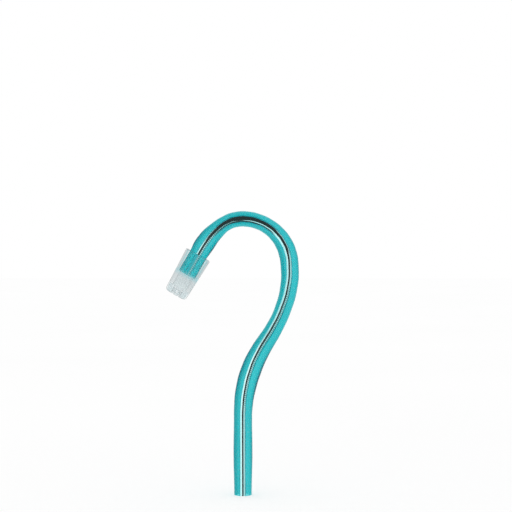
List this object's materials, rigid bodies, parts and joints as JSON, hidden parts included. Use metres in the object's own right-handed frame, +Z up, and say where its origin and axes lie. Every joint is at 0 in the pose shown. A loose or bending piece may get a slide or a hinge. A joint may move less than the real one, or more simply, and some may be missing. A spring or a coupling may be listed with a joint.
{
  "type": "saliva ejector tip",
  "caption": "Bendable suction tube with a shaping wire in its wall and a slotted push-on tip cap; the neck and the hook bend and the cap pulls off.",
  "frame": {"origin": "centre of the open tail end of the tube, the end that plugs into the suction valve", "axes": "+Z up along the straight tail, away from its end; +X to the right in the front view, the side the neck leans to; the tube bends in the XZ plane; -Y faces the front, where the shaping wire lies in the wall"},
  "size_m": [0.0475, 0.0096, 0.1017],
  "materials": {
    "tube": "clear teal soft PVC, glossy",
    "wire": "drawn soft steel wire",
    "cap": "translucent milky soft plastic"
  },
  "bodies": {
    "tail": {"tube_tail": "tube", "wire_tail": "wire"},
    "neck_1": {"tube_neck_1": "tube", "wire_neck_1": "wire"},
    "neck_2": {"tube_neck_2": "tube", "wire_neck_2": "wire"},
    "neck_3": {"tube_neck_3": "tube", "wire_neck_3": "wire"},
    "neck_4": {"tube_neck_4": "tube", "wire_neck_4": "wire"},
    "waist": {"tube_waist": "tube", "wire_waist": "wire"},
    "hook_1": {"tube_hook_1": "tube", "wire_hook_1": "wire"},
    "hook_2": {"tube_hook_2": "tube", "wire_hook_2": "wire"},
    "hook_3": {"tube_hook_3": "tube", "wire_hook_3": "wire"},
    "hook_4": {"tube_hook_4": "tube", "wire_hook_4": "wire"},
    "hook_5": {"tube_hook_5": "tube", "wire_hook_5": "wire"},
    "hook_6": {"tube_hook_6": "tube", "wire_hook_6": "wire"},
    "hook_7": {"tube_hook_7": "tube", "wire_hook_7": "wire"},
    "hook_8": {"tube_hook_8": "tube", "wire_hook_8": "wire"},
    "hook_9": {"tube_hook_9": "tube", "wire_hook_9": "wire"},
    "hook_10": {"tube_hook_10": "tube", "wire_hook_10": "wire"},
    "hook_11": {"tube_hook_11": "tube", "wire_hook_11": "wire"},
    "hook_12": {"tube_hook_12": "tube", "wire_hook_12": "wire"},
    "hook_13": {"tube_hook_13": "tube", "wire_hook_13": "wire"},
    "hook_14": {"tube_hook_14": "tube", "wire_hook_14": "wire"},
    "tip": {"tube_tip": "tube", "wire_tip": "wire"},
    "cap": {"tip_cap": "cap"}
  },
  "joints": [
    {"name": "neck_bend", "type": "hinge", "parent": "tail", "child": "neck_1", "pos_m": [0, 0, 0.0284], "axis": [0, 1, 0], "range_deg": [-4.12, 2.48], "stiffness_Nm_per_rad": 0.05},
    {"name": "neck_2_bend", "type": "hinge", "parent": "neck_1", "child": "neck_2", "pos_m": [0.00048, 0, 0.035], "axis": [0, 1, 0], "range_deg": [-8.26, 4.96], "stiffness_Nm_per_rad": 0.05},
    {"name": "neck_3_bend", "type": "hinge", "parent": "neck_2", "child": "neck_3", "pos_m": [0.00189, 0, 0.04147], "axis": [0, 1, 0], "range_deg": [-8.26, 4.96], "stiffness_Nm_per_rad": 0.05},
    {"name": "neck_4_bend", "type": "hinge", "parent": "neck_3", "child": "neck_4", "pos_m": [0.00423, 0, 0.04766], "axis": [0, 1, 0], "range_deg": [-8.26, 4.96], "stiffness_Nm_per_rad": 0.05},
    {"name": "waist_bend", "type": "hinge", "parent": "neck_4", "child": "waist", "pos_m": [0.00742, 0, 0.05346], "axis": [0, 1, 0], "range_deg": [-4.13, 2.48], "stiffness_Nm_per_rad": 0.05},
    {"name": "hook_bend", "type": "hinge", "parent": "waist", "child": "hook_1", "pos_m": [0.0096, 0, 0.05681], "axis": [0, -1, 0], "range_deg": [-4.5, 0.45], "stiffness_Nm_per_rad": 0.05},
    {"name": "hook_2_bend", "type": "hinge", "parent": "hook_1", "child": "hook_2", "pos_m": [0.01318, 0, 0.0634], "axis": [0, -1, 0], "range_deg": [-9.01, 0.91], "stiffness_Nm_per_rad": 0.05},
    {"name": "hook_3_bend", "type": "hinge", "parent": "hook_2", "child": "hook_3", "pos_m": [0.01568, 0, 0.07046], "axis": [0, -1, 0], "range_deg": [-10.51, 1.06], "stiffness_Nm_per_rad": 0.05},
    {"name": "hook_4_bend", "type": "hinge", "parent": "hook_3", "child": "hook_4", "pos_m": [0.01677, 0, 0.07736], "axis": [0, -1, 0], "range_deg": [-12.01, 1.21], "stiffness_Nm_per_rad": 0.05},
    {"name": "hook_5_bend", "type": "hinge", "parent": "hook_4", "child": "hook_5", "pos_m": [0.0164, 0, 0.08434], "axis": [0, -1, 0], "range_deg": [-12.84, 1.29], "stiffness_Nm_per_rad": 0.05},
    {"name": "hook_6_bend", "type": "hinge", "parent": "hook_5", "child": "hook_6", "pos_m": [0.01532, 0, 0.08818], "axis": [0, -1, 0], "range_deg": [-13.68, 1.38], "stiffness_Nm_per_rad": 0.05},
    {"name": "hook_7_bend", "type": "hinge", "parent": "hook_6", "child": "hook_7", "pos_m": [0.01335, 0, 0.09165], "axis": [0, -1, 0], "range_deg": [-13.68, 1.38], "stiffness_Nm_per_rad": 0.05},
    {"name": "hook_8_bend", "type": "hinge", "parent": "hook_7", "child": "hook_8", "pos_m": [0.01062, 0, 0.09456], "axis": [0, -1, 0], "range_deg": [-13.68, 1.38], "stiffness_Nm_per_rad": 0.05},
    {"name": "hook_9_bend", "type": "hinge", "parent": "hook_8", "child": "hook_9", "pos_m": [0.00728, 0, 0.09675], "axis": [0, -1, 0], "range_deg": [-13.68, 1.38], "stiffness_Nm_per_rad": 0.05},
    {"name": "hook_10_bend", "type": "hinge", "parent": "hook_9", "child": "hook_10", "pos_m": [0.00352, 0, 0.09808], "axis": [0, -1, 0], "range_deg": [-13.68, 1.38], "stiffness_Nm_per_rad": 0.05},
    {"name": "hook_11_bend", "type": "hinge", "parent": "hook_10", "child": "hook_11", "pos_m": [-0.00045, 0, 0.09848], "axis": [0, -1, 0], "range_deg": [-15.84, 1.59], "stiffness_Nm_per_rad": 0.05},
    {"name": "hook_12_bend", "type": "hinge", "parent": "hook_11", "child": "hook_12", "pos_m": [-0.00413, 0, 0.09783], "axis": [0, -1, 0], "range_deg": [-18.01, 1.81], "stiffness_Nm_per_rad": 0.05},
    {"name": "hook_13_bend", "type": "hinge", "parent": "hook_12", "child": "hook_13", "pos_m": [-0.00743, 0, 0.09608], "axis": [0, -1, 0], "range_deg": [-14.76, 1.49], "stiffness_Nm_per_rad": 0.05},
    {"name": "hook_14_bend", "type": "hinge", "parent": "hook_13", "child": "hook_14", "pos_m": [-0.01146, 0, 0.09235], "axis": [0, -1, 0], "range_deg": [-11.51, 1.16], "stiffness_Nm_per_rad": 0.05},
    {"name": "tip_bend", "type": "hinge", "parent": "hook_14", "child": "tip", "pos_m": [-0.01467, 0, 0.0879], "axis": [0, -1, 0], "range_deg": [-5.76, 0.59], "stiffness_Nm_per_rad": 0.05},
    {"name": "cap_slide", "type": "slide", "parent": "tip", "child": "cap", "axis": [-0.5, 0, -0.866], "range_m": [0, 0.012]}
  ],
  "couplings": [
    {"joint": "neck_2_bend", "follows": "neck_bend", "ratio": 2},
    {"joint": "neck_3_bend", "follows": "neck_bend", "ratio": 2},
    {"joint": "neck_4_bend", "follows": "neck_bend", "ratio": 2},
    {"joint": "waist_bend", "follows": "neck_bend", "ratio": 1},
    {"joint": "hook_2_bend", "follows": "hook_bend", "ratio": 2},
    {"joint": "hook_3_bend", "follows": "hook_bend", "ratio": 2.3333},
    {"joint": "hook_4_bend", "follows": "hook_bend", "ratio": 2.6667},
    {"joint": "hook_5_bend", "follows": "hook_bend", "ratio": 2.8519},
    {"joint": "hook_6_bend", "follows": "hook_bend", "ratio": 3.037},
    {"joint": "hook_7_bend", "follows": "hook_bend", "ratio": 3.037},
    {"joint": "hook_8_bend", "follows": "hook_bend", "ratio": 3.037},
    {"joint": "hook_9_bend", "follows": "hook_bend", "ratio": 3.037},
    {"joint": "hook_10_bend", "follows": "hook_bend", "ratio": 3.037},
    {"joint": "hook_11_bend", "follows": "hook_bend", "ratio": 3.5185},
    {"joint": "hook_12_bend", "follows": "hook_bend", "ratio": 4},
    {"joint": "hook_13_bend", "follows": "hook_bend", "ratio": 3.2778},
    {"joint": "hook_14_bend", "follows": "hook_bend", "ratio": 2.5556},
    {"joint": "tip_bend", "follows": "hook_bend", "ratio": 1.2778}
  ]
}
